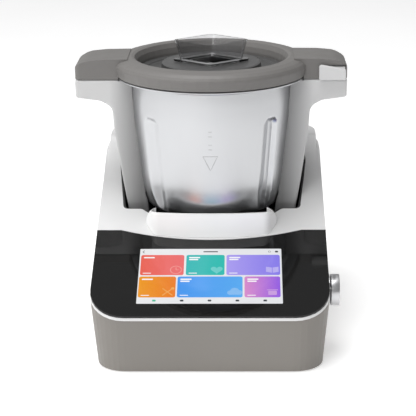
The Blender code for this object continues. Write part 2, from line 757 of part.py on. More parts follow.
def make_contacts():
    socket = box("contact_socket", CONTACT_LOW, CONTACT_HIGH, DARK)
    plug_low = Vector((CONTACT_LOW.x + 0.001, CONTACT_LOW.y + 0.001, CONTACT_HIGH.z + 0.0030))
    plug_high = Vector((CONTACT_HIGH.x - 0.001, CONTACT_HIGH.y - 0.001, 0.1240))
    plug = box("contact_plug", plug_low, plug_high, DARK)
    for i in range(5):
        x = -0.0112 + 0.0056 * i
        y = (CONTACT_LOW.y + CONTACT_HIGH.y) / 2
        slot_low = (x - 0.0012, y - 0.004, CONTACT_HIGH.z - 0.0046)
        cut(socket, box("contact_slot", slot_low, (x + 0.0012, y + 0.004, 0.11)))
        blade_low = (x - 0.0007, y - 0.0033, CONTACT_HIGH.z - 0.0040)
        join(plug, box("contact_blade", blade_low, (x + 0.0007, y + 0.0033, plug_low.z + 0.001)))
    return socket, plug


# ---------------------------------------------------------------- side knob


def make_knob():
    wall_x = BODY_HALF_WIDTH - 0.0002
    bezel = cylinder("knob_bezel", (wall_x + 0.0003, KNOB_Y, KNOB_Z), (wall_x + 0.0009, KNOB_Y, KNOB_Z),
                     KNOB_RADIUS + 0.0004, KNOB_METAL, 32)
    cut(bezel, cylinder("bezel_hole", (0.12, KNOB_Y, KNOB_Z), (0.14, KNOB_Y, KNOB_Z), 0.0055))
    encoder = box("knob_encoder", (0.098, KNOB_Y - 0.007, KNOB_Z - 0.007),
                  (0.1160, KNOB_Y + 0.007, KNOB_Z + 0.007), DARK)
    cut(encoder, cylinder("encoder_bore", (0.1015, KNOB_Y, KNOB_Z), (0.13, KNOB_Y, KNOB_Z), 0.0034))
    cylinder("knob_stem", (0.1045, KNOB_Y, KNOB_Z), (0.1345, KNOB_Y, KNOB_Z), 0.003, STEEL, 20)
    inner_x = wall_x + 0.0023
    knob = cylinder("control_knob", (inner_x, KNOB_Y, KNOB_Z), (KNOB_FACE, KNOB_Y, KNOB_Z),
                    KNOB_RADIUS, KNOB_METAL, 32)
    bevel(knob, 0.0008, 2, 60)
    cut(knob, cylinder("knob_bore", (0.12, KNOB_Y, KNOB_Z), (0.1348, KNOB_Y, KNOB_Z), 0.0033))
    return bezel, encoder, knob


# ---------------------------------------------------------------- bowl

BOWL_SECTION = [  # outer radius at each height, from the floor's knuckle to the straight top
    (0.0700, BOWL_FLOOR),
    (0.0745, BOWL_FLOOR + 0.0015),
    (0.0780, BOWL_FLOOR + 0.0050),
    (0.0798, BOWL_FLOOR + 0.0100),
    (0.0817, 0.1470),
    (0.0862, 0.1880),
    (0.0918, 0.2360),
    (BOWL_RADIUS, 0.2600),
    (BOWL_RADIUS, BOWL_RIM - 0.0045),
]


def bowl_skin(offset):
    """The bowl's outer section moved out by offset, from the floor up, without the rim."""
    return [(radius + offset, z) for radius, z in BOWL_SECTION]


def flute(name, grow, depth):
    """A long groove cutter, rounded at its top, lying along the bowl's leaning wall."""
    half = 0.0110 + grow
    lower = Vector((0.0, 0.0, BOWL_FLOOR - 0.02))
    upper_z = 0.2448 + grow
    outline = rounded(
        [(half * 0.9, lower.z, 0), (half, upper_z, half * 0.98),
         (-half, upper_z, half * 0.98), (-half * 0.9, lower.z, 0)],
        6,
    )
    groove = prism(name, outline, 0.0, 0.030, None, "XZ")
    lean = math.atan2(0.0918 - 0.0817, 0.2360 - 0.1470)
    seat = Matrix.Translation((0, -(0.0817 - depth), 0.147)) @ Matrix.Rotation(lean, 4, "X")
    groove.data.transform(Matrix.Translation((0, -0.030, -0.147)))
    groove.data.transform(seat)
    return groove


def make_bowl():
    outer = list(reversed(bowl_skin(0.0)))
    inner = bowl_skin(-BOWL_WALL)
    rim = [
        (BOWL_RADIUS - BOWL_WALL, BOWL_RIM + 0.0008),
        (BOWL_RADIUS + 0.0015, BOWL_RIM + 0.0016),
        (RIM_RADIUS - 0.001, BOWL_RIM + 0.0016),
        (RIM_RADIUS, BOWL_RIM + 0.0008),
        (RIM_RADIUS, BOWL_RIM - 0.0006),
        (RIM_RADIUS - 0.0012, BOWL_RIM - 0.0006),
        (BOWL_RADIUS + 0.0035, BOWL_RIM - 0.0006),
    ]
    floor = [(0.0158 + GAP, BOWL_FLOOR), (0.0158 + GAP, BOWL_FLOOR + BOWL_WALL)]
    inner[0] = (inner[0][0], BOWL_FLOOR + BOWL_WALL)
    inner[1] = (inner[1][0], inner[1][1] + 0.0012)
    profile = rim + outer + floor + inner
    bowl = turned("steel_bowl", profile, STEEL)
    for angle in FLUTE_ANGLES:
        turn = Matrix.Translation(BOWL_AXIS) @ Matrix.Rotation(math.radians(angle), 4, "Z")
        rib = flute("bowl_rib", BOWL_WALL, 0.0045)
        limit = [(0.0, 0.262)] + list(reversed(bowl_skin(-0.0004)))[1:] + [(0.0, BOWL_FLOOR + 0.0005)]
        rib_limit = turned("rib_limit", limit, None, Vector())
        keep(rib, rib_limit)
        rib.matrix_world = turn
        rib_limit.location = BOWL_AXIS
        join(bowl, rib)
        groove = flute("bowl_groove", 0.0, 0.0034)
        groove.matrix_world = turn
        cut(bowl, groove)
    return bowl


def make_bowl_foot():
    """The black skirt under the bowl, with a floor plate that carries the heater."""
    low = 0.0985
    turned(
        "bowl_foot",
        [(0.0640, BOWL_FLOOR - 0.0003), (0.0640, low), (0.0605, low), (0.0605, 0.1245), (0.0200, 0.1245),
         (0.0200, 0.1272), (0.0605, 0.1272), (0.0605, BOWL_FLOOR - 0.0003)],
        DARK,
    )
    turned(
        "heating_element",
        [(0.0590, BOWL_FLOOR - GAP), (0.0590, 0.1275), (0.0225, 0.1275), (0.0225, BOWL_FLOOR - GAP)],
        COPPER,
        segments=MIDDLE,
    )
    turned(
        "blade_bearing",
        [(0.0185, 0.1352), (0.0185, BOWL_FLOOR + BOWL_WALL + GAP), (0.0158, BOWL_FLOOR + BOWL_WALL + GAP),
         (0.0158, 0.1130), (0.0063, 0.1130), (0.0063, 0.1352)],
        STEEL,
        segments=COARSE,
    )


def make_lock_ring():
    """The ring that holds the blade's bearing in the bowl and turns to let it go."""
    ring = turned("blade_lock_ring", [(0.0300, 0.1210), (0.0300, 0.1150), (0.0162, 0.1150), (0.0162, 0.1210)],
                  DARK, segments=MIDDLE)
    ring.location = BOWL_AXIS
    for side in (-1, 1):
        near, far = sorted((0.028 * side, 0.054 * side))
        wing = box("lock_wing", (near, -0.005, 0.1155), (far, 0.005, 0.1205))
        wing.location = BOWL_AXIS
        join(ring, wing)
    return ring


def make_handle(name, side):
    """One handle: a wide blade that hugs the bowl and turns out into a grip under the lid's ear."""
    outline = rounded(
        [
            (0.0880, HANDLE_TOP, 0),
            (HANDLE_TIP, HANDLE_TOP, 0),
            (HANDLE_TIP - 0.0005, 0.2592, 0.003),
            (0.1240, 0.2556, 0.020),
            (0.1112, 0.2480, 0.012),
            (0.1095, 0.2210, 0.060),
            (0.1015, 0.1640, 0.060),
            (0.0940, 0.1180, 0),
            (0.0925, 0.1060, 0),
            (0.0700, 0.1060, 0),
        ],
        5,
    )
    handle = prism(name, [(side * x, z) for x, z in outline], HANDLE_FRONT, HANDLE_REAR, PALE_GREY, "XZ")
    bevel(handle, 0.0022, 2, 50)
    clear = GAP + 0.0001
    under_rim = BOWL_RIM - 0.0020
    envelope = [(0.0, 0.30), (RIM_RADIUS + 0.0010, 0.30), (RIM_RADIUS + 0.0010, under_rim)]
    envelope += [(BOWL_RADIUS + 0.0035 + clear, under_rim)]
    envelope += [(radius + clear, z - GAP) for radius, z in reversed(BOWL_SECTION)]
    envelope += [(0.0700, 0.09), (0.0, 0.09)]
    cut(handle, turned("handle_envelope", envelope))
    return handle


# ---------------------------------------------------------------- blade


def make_blade():
    turned(
        "blade_shaft",
        [(0.0, 0.1560), (0.0035, 0.1555), (0.0070, 0.1535), (0.0085, 0.1500), (0.0085, 0.1475),
         (0.0050, 0.1475), (0.0050, 0.1400), (0.0120, 0.1400), (0.0120, 0.1362), (0.0060, 0.1362),
         (0.0060, 0.1128), (0.0, 0.1128)],
        STEEL,
        segments=COARSE,
    )
    blades = (("blade_lower", 0.1403, -0.05, 0.0), ("blade_upper", 0.1440, 0.42, math.pi / 2))
    for name, low, bend, turn in blades:
        arm = rounded(
            [(0.010, -0.0085, 0), (0.034, -0.0095, 0.02), (0.054, 0.0010, 0.002),
             (0.040, 0.0070, 0.02), (0.010, 0.0085, 0)],
            4,
        )
        outline = arm + [(-x, -y) for x, y in arm]
        blade = prism(name, outline, low, low + 0.0017, STEEL)
        shape = bmesh.new()
        shape.from_mesh(blade.data)
        for plane_x in (0.016, 0.028, -0.016, -0.028):
            geometry = list(shape.verts) + list(shape.edges) + list(shape.faces)
            bmesh.ops.bisect_plane(shape, geom=geometry, plane_co=(plane_x, 0, 0), plane_no=(1, 0, 0))
        for vertex in shape.verts:
            vertex.co.z += bend * max(0.0, abs(vertex.co.x) - 0.016)
        shape.to_mesh(blade.data)
        shape.free()
        blade.matrix_world = Matrix.Translation(BOWL_AXIS) @ Matrix.Rotation(turn, 4, "Z")
        cut(blade, cylinder("blade_bore", (0, BOWL_Y, 0.13), (0, BOWL_Y, 0.16), 0.0053))

    socket = turned("blade_socket", [(0.0, 0.1125), (0.0140, 0.1125), (0.0140, 0.0995), (0.0, 0.0995)],
                    DARK, segments=COARSE)
    star = prism("socket_star", star_outline(0.0085, 0.0014, grow=0.0008), 0.09, 0.1095)
    star.location = BOWL_AXIS
    return cut(socket, star)


# ---------------------------------------------------------------- lid, latch and cup


def make_lid_ring():
    ring = turned(
        "lid_ring",
        [(0.0905, LID_CROWN), (0.0980, LID_CROWN - 0.0006), (0.1045, LID_CROWN - 0.0024),
         (0.1085, LID_CROWN - 0.0050), (LID_RADIUS - 0.0004, LID_CROWN - 0.0075),
         (LID_RADIUS, LID_CROWN - 0.0095),
         (LID_RADIUS - 0.0014, LID_BASE + 0.0006), (LID_RADIUS - 0.0024, LID_BASE), (0.0835, LID_BASE),
         (0.0835, 0.2900), (0.0845, 0.2960), (LID_OPENING - 0.0010, LID_CROWN - 0.0012)],
        LID_GREY,
    )
    for side, name in ((-1, "left"), (1, "right")):
        inner_x = 0.093
        ear_low = LID_BASE + 0.0040
        outline = rounded(
            [(inner_x, LID_CROWN + 0.0007, 0), (0.120, LID_CROWN + 0.0004, 0.06),
             (0.1405, LID_CROWN - 0.0014, 0.03), (HANDLE_TIP, LID_CROWN - 0.0065, 0.006),
             (HANDLE_TIP, HANDLE_TOP + 0.0005, 0), (inner_x, HANDLE_TOP + 0.0005, 0)],
            5,
        )
        ear = prism(f"ear_{name}", [(side * x, z) for x, z in outline], HANDLE_FRONT, HANDLE_REAR, None, "XZ")
        plan = rounded(
            [(0.0, HANDLE_FRONT, 0), (HANDLE_TIP, HANDLE_FRONT, 0.006),
             (HANDLE_TIP, HANDLE_REAR, 0.020), (0.0, HANDLE_REAR, 0)],
            5,
        )
        keep(ear, prism(f"ear_plan_{name}", [(side * x, y) for x, y in plan], 0.2, 0.4))
        bevel(ear, 0.0025, 2, 50)
        rim = RIM_RADIUS + 0.0008
        cut(ear, turned(f"rim_space_{name}", [(0.0, ear_low), (rim, ear_low), (rim, 0.27), (0.0, 0.27)]))
        join(ring, ear)
    low = (LATCH_LEFT + GAP, 0.0, LATCH_AXIS.z - 0.0052)
    high = (LATCH_RIGHT - GAP, LATCH_AXIS.y + 0.0055, LATCH_AXIS.z + 0.0052)
    well = box("latch_well", low, high)
    bore = cylinder("latch_pin_bore", (LATCH_LEFT - 0.005, LATCH_AXIS.y, LATCH_AXIS.z),
                    (LATCH_RIGHT + 0.0012, LATCH_AXIS.y, LATCH_AXIS.z), 0.0015, None, 12)
    cut(ring, join(well, bore))
    return settle(ring)


def make_lid_plate():
    hub = 0.0560
    plate = turned(
        "lid_plate",
        [(0.0, 0.2945), (hub - 0.0020, 0.2945), (hub, 0.2938), (hub + 0.0012, 0.2860),
         (0.0740, 0.2858), (0.0752, 0.2872), (0.0822, 0.2876), (0.0830, 0.2868),
         (0.0830, 0.2700), (0.0800, 0.2700), (0.0800, 0.2828), (0.0570, 0.2828),
         (hub - 0.0018, 0.2915), (0.0, 0.2915)],
        DARK,
    )
    opening = cup_outline(0.0325, 0.006)
    return cut(plate, prism("plate_opening", opening, 0.26, 0.31))


def cup_outline(corner_reach, radius):
    """A rounded lozenge round the bowl's axis."""
    tip = corner_reach + radius * (math.sqrt(2) - 1)
    corners = [(tip, 0, radius), (0, tip, radius), (-tip, 0, radius), (0, -tip, radius)]
    return [(x, y * CUP_DEPTH + BOWL_Y) for x, y in rounded(corners, 5)]


def make_cup():
    wall = 0.0018
    cup = loft(
        "measuring_cup",
        [(cup_outline(0.0300, 0.006), 0.2640), (cup_outline(0.0310, 0.006), 0.2950),
         (cup_outline(0.0425, 0.008), 0.2955), (cup_outline(0.0425, 0.008), 0.2975),
         (cup_outline(0.0352, 0.007), 0.2980), (cup_outline(0.0412, 0.008), CUP_TOP)],
        SMOKE,
    )
    hollow = loft(
        "cup_hollow",
        [(cup_outline(0.0300 - wall, 0.0045), 0.2640 + wall), (cup_outline(0.0310 - wall, 0.0045), 0.2955),
         (cup_outline(0.0352 - wall, 0.0055), 0.2985),
         (cup_outline(0.0412 - wall, 0.0065), CUP_TOP + 0.0002)],
    )
    return cut(cup, hollow)


def make_lid_seal():
    turned(
        "lid_seal",
        [(0.0880, 0.2800), (0.0908, 0.2790), (0.0908, 0.2778), (0.0890, 0.2770), (0.0908, 0.2760),
         (0.0908, 0.2748), (0.0880, 0.2735), (0.0833, 0.2735), (0.0833, 0.2800)],
        SILICONE,
    )


def make_latch():
    """The tab on the right ear: a finger plate in front, a barrel on the pin behind it."""
    corners = [(LATCH_LEFT, 0.2973, 0.0030), (LATCH_RIGHT, 0.2920, 0.0025),
               (LATCH_RIGHT, HANDLE_TOP - 0.0001, 0.0018), (LATCH_LEFT, HANDLE_TOP - 0.0001, 0.0018)]
    face = [(x, z - LATCH_AXIS.z) for x, z in rounded(corners, 5)]
    tab = prism("lid_latch", face, 0.0042 - LATCH_AXIS.y, 0.0092 - LATCH_AXIS.y, PALE_GREY, "XZ")
    tab.location = LATCH_AXIS
    bevel(tab, 0.0009, 2, 50)
    y, z = LATCH_AXIS.y, LATCH_AXIS.z
    web = box("latch_web", (LATCH_LEFT + 0.001, 0.0085, z - 0.0030),
              (LATCH_RIGHT - 0.001, y + 0.001, z + 0.0030))
    barrel = cylinder("latch_barrel", (LATCH_LEFT + 0.0008, y, z), (LATCH_RIGHT - 0.0008, y, z), 0.0040)
    bore = cylinder("latch_bore", (LATCH_LEFT - 0.01, y, z), (LATCH_RIGHT + 0.01, y, z), 0.0015, None, 12)
    join(tab, web, barrel)
    cut(tab, bore)
    cylinder("latch_pin", (LATCH_LEFT - 0.0040, y, z), (LATCH_RIGHT + 0.0008, y, z), 0.0012, STEEL, 12)
    return tab


# ---------------------------------------------------------------- build


def shade_round_pieces():
    for thing in PARTS.objects:
        thing.data.shade_smooth()
        thing.data.set_sharp_from_angle(angle=math.radians(32))


make_lower_casing()
make_base_plate()
make_upper_housing()
make_front_collar()
make_panel()
make_seat_liner()
make_feet_and_screws()
make_power_inlet()
make_power_switch()
make_vent_grille()
make_motor()
make_drive_coupling()
make_boards()
make_contacts()
make_knob()
make_bowl()
make_bowl_foot()
make_lock_ring()
make_handle("handle_left", -1)
make_handle("handle_right", 1)
make_blade()
make_lid_ring()
make_lid_plate()
make_cup()
make_lid_seal()
make_latch()
shade_round_pieces()
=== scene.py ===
"""The looks of a heated cooking blender: materials, the lit screen, small trim, light and camera."""

import json
import math

import bmesh
import bpy
from mathutils import Matrix, Vector

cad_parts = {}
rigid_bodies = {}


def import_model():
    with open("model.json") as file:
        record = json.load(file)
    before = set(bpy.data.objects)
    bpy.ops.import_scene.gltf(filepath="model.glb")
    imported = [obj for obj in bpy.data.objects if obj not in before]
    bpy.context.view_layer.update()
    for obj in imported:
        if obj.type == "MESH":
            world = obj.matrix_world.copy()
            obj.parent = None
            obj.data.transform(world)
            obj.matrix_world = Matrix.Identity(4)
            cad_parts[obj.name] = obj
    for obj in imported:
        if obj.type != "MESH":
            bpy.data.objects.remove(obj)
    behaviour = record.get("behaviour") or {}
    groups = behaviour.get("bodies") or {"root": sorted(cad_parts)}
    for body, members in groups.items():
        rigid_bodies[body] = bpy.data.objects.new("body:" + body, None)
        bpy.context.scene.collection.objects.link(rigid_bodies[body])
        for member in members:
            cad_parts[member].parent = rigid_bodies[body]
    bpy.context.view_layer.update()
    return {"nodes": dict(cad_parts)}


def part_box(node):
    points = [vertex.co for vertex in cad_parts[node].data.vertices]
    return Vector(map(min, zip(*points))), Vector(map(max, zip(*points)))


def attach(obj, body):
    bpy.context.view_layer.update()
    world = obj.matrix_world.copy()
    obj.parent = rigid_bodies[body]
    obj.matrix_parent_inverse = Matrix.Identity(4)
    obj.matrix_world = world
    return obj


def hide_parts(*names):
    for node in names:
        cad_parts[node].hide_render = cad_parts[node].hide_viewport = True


SMOOTH_ANGLE = math.radians(32)

PANEL_TILT = math.radians(22.2)
GLASS_THICKNESS = 0.0018
SCREEN_WIDTH = 0.155
SCREEN_HEIGHT = 0.0872
SCREEN_LIFT = 0.00003  # the picture's layers stand this far apart on the glass

FLUTE_CENTRES = (-46.5, 46.5, 133.5, 226.5)  # degrees round the bowl from its front
FLUTE_HALF = 0.0118
FLUTE_DEPTH = 0.0054
FLUTE_APEX = 0.2448
FLUTE_SHOULDER = 0.2335
FLUTE_FACET = 0.0065  # length of the slope at a flute's top
KNUCKLE_TOP = 0.1600  # below this the bowl curves in, and its flutes run on until they meet it
FLUTE_SLOPE = 0.15  # how fast a flute's floor leans in, below the knuckle's top
FLUTE_GENTLE = 1.10  # the gentle side's share of a flute's half width
FLUTE_STEEP = 0.26
FLUTE_SPAN = 9  # degrees each side of a flute's middle that are finely divided
FLUTE_STEP = 0.25
PLAIN_STEPS = 20  # divisions of the plain wall from one flute to the next
MARK_TOP = 0.2350
MARK_RADIUS = 0.0002
TICK_HALF_ANGLE = 1.2
ARROW_HALF_ANGLE = 5.2
ARROW_DROP = 0.0285
ARROW_TIP_DROP = 0.0450
MARK_DROPS = (0.0, 0.0055, 0.0150, 0.0205)  # each tick's distance below the first
BOWL_WALL = 0.0015
BOWL_HUB = 0.0161  # radius of the hole for the blade's bearing
SEAL_LOW = 0.1500
SEAL_HIGH = 0.2745
SEAL_STEPS = 24
SEAL_RADIUS = 0.0005
SEAL_INSET = 0.0012  # from the grip's edge
SEAL_PROUD = 0.0002
KNOB_STEPS = 96
DISC_STEPS = 24
CORNER_STEPS = 5
DISPLAY_THICKNESS = 0.0032
GLASS_GAP = 0.0003

FLOOR_GLOW = 0.42
SKY_STRENGTH = 0.62
SKY_LEFT = (1.0, 1.0, 1.0, 1)
SKY_RIGHT = (0.24, 0.24, 0.245, 1)
LIGHTS = (  # name, place, target, side in metres, power in watts
    ("key_light", (-2.0, -0.9, 1.3), (0, 0, 0.15), 1.3, 7),
    ("top_light", (-0.3, -0.25, 2.2), (0, 0, 0.1), 1.4, 34),
    ("front_light", (-0.7, -1.7, 1.1), (0, 0, 0.1), 1.1, 7),
)

CAMERA_PLACE = Vector((0.0367, -1.5565, 0.6277))
CAMERA_TARGET = Vector((-0.0043, 0.0, 0.1329))
CAMERA_ROLL = math.radians(-0.61)
CAMERA_LENS = 124.0


# ---------------------------------------------------------------- materials


def linear(red, green, blue):
    """A linear colour from one on a 0 to 255 screen scale."""
    return tuple((value / 255) ** 2.2 for value in (red, green, blue)) + (1.0,)


class Look:
    """A node material, with short calls to add and join its nodes."""

    def __init__(self, name):
        self.material = bpy.data.materials.new(name)
        self.material.use_nodes = True
        self.tree = self.material.node_tree
        self.shader = self.tree.nodes["Principled BSDF"]

    def set(self, **values):
        """Set the shader's inputs, named with underscores for spaces."""
        for key, value in values.items():
            self.shader.inputs[key.replace("_", " ")].default_value = value
        return self

    def node(self, kind, **values):
        node = self.tree.nodes.new("ShaderNode" + kind)
        for key, value in values.items():
            setattr(node, key, value)
        return node

    def link(self, output, target):
        self.tree.links.new(output, target)

    def place(self, scale=(1, 1, 1)):
        """A texture place in the object's own coordinates."""
        mapping = self.node("Mapping")
        mapping.inputs["Scale"].default_value = scale
        self.link(self.node("TexCoord").outputs["Object"], mapping.inputs["Vector"])
        return mapping.outputs["Vector"]

    def noise(self, scale, detail=2.0, place=None):
        """A 0 to 1 noise value."""
        noise = self.node("TexNoise")
        noise.inputs["Scale"].default_value = scale
        noise.inputs["Detail"].default_value = detail
        self.link(place or self.place(), noise.inputs["Vector"])
        return noise.outputs["Fac"]

    def ramp(self, factor, *stops):
        """A colour that follows a value through (position, colour) stops."""
        ramp = self.node("ValToRGB")
        points = ramp.color_ramp.elements
        while len(points) < len(stops):
            points.new(0.5)
        for point, (position, colour) in zip(points, stops):
            point.position = position
            point.color = colour
        self.link(factor, ramp.inputs["Fac"])
        return ramp.outputs["Color"]

    def span(self, factor, low, high):
        """A 0 to 1 value turned into one from low to high."""
        span = self.node("MapRange")
        span.inputs["From Min"].default_value = 0.3
        span.inputs["From Max"].default_value = 0.7
        span.inputs["To Min"].default_value = low
        span.inputs["To Max"].default_value = high
        self.link(factor, span.inputs["Value"])
        return span.outputs["Result"]

    def bump(self, height, strength, distance):
        bump = self.node("Bump")
        bump.inputs["Strength"].default_value = strength
        bump.inputs["Distance"].default_value = distance
        self.link(height, bump.inputs["Height"])
        self.link(bump.outputs["Normal"], self.shader.inputs["Normal"])
        return self


def shaded(colour, amount):
    """The colour made darker or lighter by a factor, and opaque."""
    return tuple(channel * amount for channel in colour[:3]) + (1.0,)


def moulded(name, colour, roughness, grain, depth, coat=0.0):
    """Moulded plastic: a fine spark-eroded grain, with slow drifts in its colour and gloss."""
    look = Look(name).set(Coat_Weight=coat, Coat_Roughness=0.15, Specular_IOR_Level=0.45)
    drift = look.noise(14.0, 3.0)
    tone = look.ramp(drift, (0.35, shaded(colour, 0.985)), (0.65, shaded(colour, 1.015)))
    look.link(tone, look.shader.inputs["Base Color"])
    gloss = look.span(look.noise(55.0, 4.0), roughness - 0.04, roughness + 0.05)
    look.link(gloss, look.shader.inputs["Roughness"])
    return look.bump(look.noise(grain, 3.0), 0.25, depth)


def distance_from_axis(look, centre):
    """A socket with each point's distance from an upright axis through centre."""
    offset = look.node("VectorMath", operation="SUBTRACT")
    look.link(look.node("TexCoord").outputs["Object"], offset.inputs[0])
    offset.inputs[1].default_value = centre
    flat = look.node("VectorMath", operation="MULTIPLY")
    look.link(offset.outputs[0], flat.inputs[0])
    flat.inputs[1].default_value = (1, 1, 0)
    length = look.node("VectorMath", operation="LENGTH")
    look.link(flat.outputs[0], length.inputs[0])
    return length.outputs["Value"]


def grip_moulding(colour, roughness):
    """Pale moulded plastic, painted darker near the bowl to stand for the soft shadow of the joint."""
    look = Look("grip_moulding").set(Specular_IOR_Level=0.45)
    low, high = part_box("steel_bowl")
    reach = distance_from_axis(look, ((low.x + high.x) / 2, (low.y + high.y) / 2, 0))
    near = look.node("MapRange")
    near.inputs["From Min"].default_value = 0.086
    near.inputs["From Max"].default_value = 0.118
    look.link(reach, near.inputs["Value"])
    tone = look.ramp(near.outputs["Result"], (0.0, shaded(colour, 0.32)), (1.0, colour))
    look.link(tone, look.shader.inputs["Base Color"])
    gloss = look.span(look.noise(55.0, 4.0), roughness - 0.04, roughness + 0.05)
    look.link(gloss, look.shader.inputs["Roughness"])
    return look.bump(look.noise(3200.0, 3.0), 0.25, 0.00001)


def brushed(name, colour, roughness, place_scale, contrast=1.0):
    """Brushed metal: hair lines across place_scale's large axis, uneven in gloss."""
    look = Look(name).set(Metallic=1.0)
    lines = look.noise(1.0, 5.0, look.place(place_scale))
    darker = shaded(colour, 1 - 0.04 * contrast)
    lighter = shaded(colour, 1 + 0.03 * contrast)
    look.link(look.ramp(lines, (0.3, darker), (0.7, lighter)), look.shader.inputs["Base Color"])
    spread = 0.06 * contrast
    look.link(look.span(lines, roughness - spread, roughness + spread), look.shader.inputs["Roughness"])
    return look.bump(lines, 0.12 * contrast, 0.00008)


def face_turned(name, colour, roughness, centre):
    """Metal turned on a lathe about an axis along X: fine rings round the centre."""
    look = Look(name).set(Metallic=1.0, Anisotropic=0.6)
    split = look.node("SeparateXYZ")
    look.link(look.node("TexCoord").outputs["Object"], split.inputs[0])
    offsets = []
    for axis, middle in (("Y", centre.y), ("Z", centre.z)):
        offset = look.node("Math", operation="SUBTRACT")
        look.link(split.outputs[axis], offset.inputs[0])
        offset.inputs[1].default_value = middle
        square = look.node("Math", operation="MULTIPLY")
        look.link(offset.outputs[0], square.inputs[0])
        look.link(offset.outputs[0], square.inputs[1])
        offsets.append(square.outputs[0])
    total = look.node("Math", operation="ADD")
    look.link(offsets[0], total.inputs[0])
    look.link(offsets[1], total.inputs[1])
    radius = look.node("Math", operation="SQRT")
    look.link(total.outputs[0], radius.inputs[0])
    rings = look.node("TexNoise", noise_dimensions="1D")
    rings.inputs["Scale"].default_value = 5200.0
    look.link(radius.outputs[0], rings.inputs["W"])
    rings = rings.outputs["Fac"]
    tone = look.ramp(rings, (0.3, shaded(colour, 0.9)), (0.7, shaded(colour, 1.06)))
    look.link(tone, look.shader.inputs["Base Color"])
    look.link(look.span(rings, roughness - 0.05, roughness + 0.08), look.shader.inputs["Roughness"])
    return look.bump(rings, 0.1, 0.00006)


def panel_glass():
    """Black printed glass, with the faint smears of use in its gloss."""
    look = Look("black_panel_glass").set(Specular_IOR_Level=0.4, Coat_Weight=0.0)
    darker = (0.0055, 0.0055, 0.0055, 1)
    lighter = (0.0066, 0.0066, 0.0066, 1)
    tint = look.ramp(look.noise(9.0, 2.0), (0.3, darker), (0.7, lighter))
    look.link(tint, look.shader.inputs["Base Color"])
    look.link(look.span(look.noise(26.0, 5.0), 0.015, 0.07), look.shader.inputs["Roughness"])
    return look


def clear_cup():
    """Clear smoke-tinted plastic, with flow lines that only its gloss shows."""
    look = Look("clear_smoke_plastic").set(Transmission_Weight=1.0, IOR=1.49)
    look.shader.inputs["Base Color"].default_value = linear(226, 226, 227)
    look.link(look.span(look.noise(40.0, 3.0), 0.02, 0.08), look.shader.inputs["Roughness"])
    return look.bump(look.noise(120.0, 2.0), 0.05, 0.0001)


def lit(name, first, last, strength=0.92):
    """A lit patch of the display, one colour fading into another from left to right, with a fine dot grid."""
    look = Look(name).set(Roughness=0.08, Emission_Strength=strength)
    look.shader.inputs["Base Color"].default_value = (0.01, 0.01, 0.01, 1)
    split = look.node("SeparateXYZ")
    look.link(look.node("TexCoord").outputs["Generated"], split.inputs[0])
    fade = look.ramp(split.outputs["X"], (0.0, linear(*first)), (1.0, linear(*last)))
    look.link(fade, look.shader.inputs["Emission Color"])
    dots = look.node("TexVoronoi")
    dots.inputs["Scale"].default_value = 4200.0
    look.link(look.place(), dots.inputs["Vector"])
    return look.bump(dots.outputs["Distance"], 0.02, 0.00001)


def board_look():
    """Green lacquered circuit board with its rows of tracks."""
    look = Look("lacquered_board").set(Roughness=0.35, Coat_Weight=0.4)
    tracks = look.node("TexBrick")
    tracks.inputs["Scale"].default_value = 260.0
    tracks.inputs["Color1"].default_value = linear(30, 96, 58)
    tracks.inputs["Color2"].default_value = linear(38, 110, 66)
    tracks.inputs["Mortar"].default_value = linear(150, 130, 70)
    look.link(look.place(), tracks.inputs["Vector"])
    look.link(tracks.outputs["Color"], look.shader.inputs["Base Color"])
    return look


